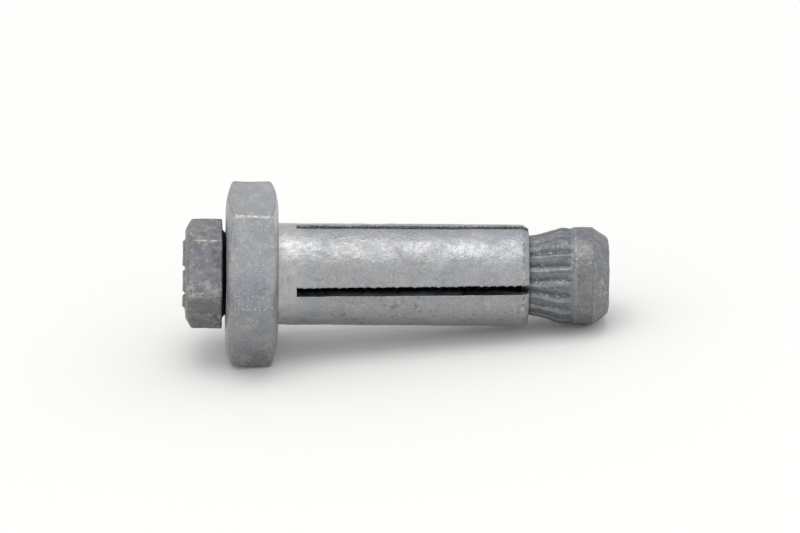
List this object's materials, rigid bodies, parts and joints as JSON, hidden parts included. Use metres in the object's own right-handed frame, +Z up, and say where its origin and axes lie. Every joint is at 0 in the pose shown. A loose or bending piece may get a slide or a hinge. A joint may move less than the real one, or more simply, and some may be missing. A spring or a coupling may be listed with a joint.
{
  "type": "expansion blind bolt",
  "caption": "Hex bolt in a slotted sleeve with a hex collar; tightening it pulls a ribbed cone into the sleeve and spreads the legs behind a hollow wall.",
  "frame": {"origin": "on the bolt's axis, in the plane of the collar's bearing face", "axes": "+X runs along the bolt towards the cone and +Z is up; the part lies on one collar flat and on its cone, so the bolt's axis dips 5.9 degrees below +X"},
  "size_m": [0.0579, 0.0254, 0.0225],
  "materials": {
    "bolt_zinc": "hot-dip galvanised, rough and mottled dark grey",
    "sleeve_zinc": "hot-dip galvanised, satin light grey with fine spangle",
    "cone_zinc": "hot-dip galvanised, matt mid grey with pale specks on the ribs"
  },
  "bodies": {
    "sleeve": {"slotted_sleeve": "sleeve_zinc"},
    "bolt": {"hex_bolt": "bolt_zinc"},
    "cone": {"ribbed_cone": "cone_zinc"}
  },
  "joints": [
    {"name": "bolt_turn", "type": "hinge", "parent": "sleeve", "child": "bolt", "pos_m": [0, 0, 0], "axis": [0.9947, 0, -0.1027], "range_deg": [-2160, 0]},
    {"name": "cone_travel", "type": "slide", "parent": "sleeve", "child": "cone", "axis": [0.9947, 0, -0.1027], "range_m": [0, 0.0075]}
  ],
  "couplings": [
    {"joint": "cone_travel", "follows": "bolt_turn", "m_per_rad": -0.00019894}
  ]
}
